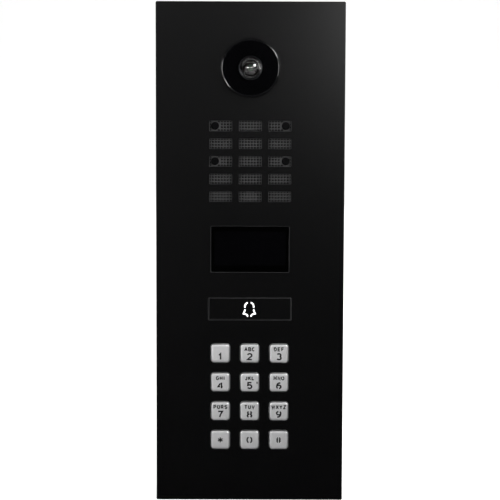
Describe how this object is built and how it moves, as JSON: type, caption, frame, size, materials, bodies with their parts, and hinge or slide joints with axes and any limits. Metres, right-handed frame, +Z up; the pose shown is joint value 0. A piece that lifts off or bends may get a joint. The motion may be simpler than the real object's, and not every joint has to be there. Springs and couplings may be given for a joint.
{
  "type": "door intercom panel",
  "caption": "Flush-mounted black door intercom panel with a domed camera, slotted speaker grille, display, bell call button and steel keypad.",
  "frame": {"origin": "middle of the back box's rear face, which sits against the bottom of the wall recess", "axes": "+Y points into the wall, so the front faces -Y; +Z is up; +X is to the right for someone facing the panel"},
  "size_m": [0.1474, 0.0661, 0.3934],
  "materials": {
    "black_paint": "fine-textured black powder coat, semi-gloss",
    "black_rubber": "closed-cell foam rubber",
    "screw_steel": "stainless",
    "zinc_steel": "galvanised sheet",
    "plain_steel": "zinc-plated",
    "black_gloss": "deep gloss",
    "dark_plastic": "glass-filled, fine grain",
    "smoked_window": "infrared-passing smoked acrylic, high gloss",
    "circuit_board": "solder mask",
    "led_lens": "tinted clear epoxy",
    "black_anodised": "black anodised",
    "lens_ring": "black anodised, satin",
    "lens_glass": "anti-reflection coated",
    "mesh_steel": "dark grey coated perforated steel",
    "dark_screws": "black oxide",
    "cone_film": "coated film",
    "magnet": "ferrite",
    "display_glass": "dark glass with a printed border",
    "display_cell": "glass display cell, unlit",
    "button_paint": "black powder coat, semi-gloss",
    "white_light": "opal, lit white",
    "spring_steel": "drawn wire",
    "grey_silicone": "silicone",
    "green_plastic": "polyamide",
    "jack_shell": "tinned shell",
    "brass_standoffs": "turned",
    "ribbon": "flat flexible cable",
    "key_steel": "satin stainless with a dark cut-out legend"
  },
  "bodies": {
    "housing": {"front_panel": "black_paint", "panel_gasket": "black_rubber", "security_screws": "screw_steel", "back_box": "zinc_steel", "lock_blocks": "plain_steel", "cable_grommets": "black_rubber", "camera_bezel": "black_gloss", "camera_gasket": "black_rubber", "camera_nut": "dark_plastic", "camera_window": "smoked_window", "ir_led_board": "circuit_board", "ir_leds": "led_lens", "lens_barrel": "black_anodised", "lens_retainer": "lens_ring", "front_lens": "lens_glass", "inner_lens": "lens_glass", "lens_holder": "dark_plastic", "camera_board": "circuit_board", "camera_housing": "dark_plastic", "speaker_gasket": "black_rubber", "speaker_mesh": "mesh_steel", "mesh_screws": "dark_screws", "speaker_housing": "dark_plastic", "speaker_frame": "plain_steel", "speaker_cone": "cone_film", "speaker_magnet": "magnet", "microphone": "plain_steel", "microphone_boot": "black_rubber", "display_window": "display_glass", "display_panel": "display_cell", "display_board": "circuit_board", "display_frame": "dark_plastic", "button_frame": "dark_plastic", "button_springs": "spring_steel", "button_board": "circuit_board", "keypad_frame": "dark_plastic", "keypad_mat": "grey_silicone", "keypad_board": "circuit_board", "rear_housing": "dark_plastic", "main_board": "circuit_board", "terminal_block": "green_plastic", "ethernet_jack": "jack_shell", "standoffs": "brass_standoffs", "stud_nuts": "plain_steel", "m3_screws": "screw_steel", "ribbon_cables": "ribbon"},
    "call_button_body": {"call_button": "button_paint", "call_button_light": "white_light"},
    "key_1_body": {"key_1": "key_steel"},
    "key_2_body": {"key_2": "key_steel"},
    "key_3_body": {"key_3": "key_steel"},
    "key_4_body": {"key_4": "key_steel"},
    "key_5_body": {"key_5": "key_steel"},
    "key_6_body": {"key_6": "key_steel"},
    "key_7_body": {"key_7": "key_steel"},
    "key_8_body": {"key_8": "key_steel"},
    "key_9_body": {"key_9": "key_steel"},
    "key_star_body": {"key_star": "key_steel"},
    "key_0_body": {"key_0": "key_steel"},
    "key_hash_body": {"key_hash": "key_steel"}
  },
  "joints": [
    {"name": "call_button_press", "type": "slide", "parent": "housing", "child": "call_button_body", "axis": [0, 1, 0], "range_m": [0, 0.0008], "stiffness_N_per_m": 2500, "springref_m": -0.0012, "deforming": ["button_springs"]},
    {"name": "key_1_press", "type": "slide", "parent": "housing", "child": "key_1_body", "axis": [0, 1, 0], "range_m": [0, 0.001], "stiffness_N_per_m": 900, "springref_m": -0.0008, "deforming": ["keypad_mat"]},
    {"name": "key_2_press", "type": "slide", "parent": "housing", "child": "key_2_body", "axis": [0, 1, 0], "range_m": [0, 0.001], "stiffness_N_per_m": 900, "springref_m": -0.0008, "deforming": ["keypad_mat"]},
    {"name": "key_3_press", "type": "slide", "parent": "housing", "child": "key_3_body", "axis": [0, 1, 0], "range_m": [0, 0.001], "stiffness_N_per_m": 900, "springref_m": -0.0008, "deforming": ["keypad_mat"]},
    {"name": "key_4_press", "type": "slide", "parent": "housing", "child": "key_4_body", "axis": [0, 1, 0], "range_m": [0, 0.001], "stiffness_N_per_m": 900, "springref_m": -0.0008, "deforming": ["keypad_mat"]},
    {"name": "key_5_press", "type": "slide", "parent": "housing", "child": "key_5_body", "axis": [0, 1, 0], "range_m": [0, 0.001], "stiffness_N_per_m": 900, "springref_m": -0.0008, "deforming": ["keypad_mat"]},
    {"name": "key_6_press", "type": "slide", "parent": "housing", "child": "key_6_body", "axis": [0, 1, 0], "range_m": [0, 0.001], "stiffness_N_per_m": 900, "springref_m": -0.0008, "deforming": ["keypad_mat"]},
    {"name": "key_7_press", "type": "slide", "parent": "housing", "child": "key_7_body", "axis": [0, 1, 0], "range_m": [0, 0.001], "stiffness_N_per_m": 900, "springref_m": -0.0008, "deforming": ["keypad_mat"]},
    {"name": "key_8_press", "type": "slide", "parent": "housing", "child": "key_8_body", "axis": [0, 1, 0], "range_m": [0, 0.001], "stiffness_N_per_m": 900, "springref_m": -0.0008, "deforming": ["keypad_mat"]},
    {"name": "key_9_press", "type": "slide", "parent": "housing", "child": "key_9_body", "axis": [0, 1, 0], "range_m": [0, 0.001], "stiffness_N_per_m": 900, "springref_m": -0.0008, "deforming": ["keypad_mat"]},
    {"name": "key_star_press", "type": "slide", "parent": "housing", "child": "key_star_body", "axis": [0, 1, 0], "range_m": [0, 0.001], "stiffness_N_per_m": 900, "springref_m": -0.0008, "deforming": ["keypad_mat"]},
    {"name": "key_0_press", "type": "slide", "parent": "housing", "child": "key_0_body", "axis": [0, 1, 0], "range_m": [0, 0.001], "stiffness_N_per_m": 900, "springref_m": -0.0008, "deforming": ["keypad_mat"]},
    {"name": "key_hash_press", "type": "slide", "parent": "housing", "child": "key_hash_body", "axis": [0, 1, 0], "range_m": [0, 0.001], "stiffness_N_per_m": 900, "springref_m": -0.0008, "deforming": ["keypad_mat"]}
  ]
}
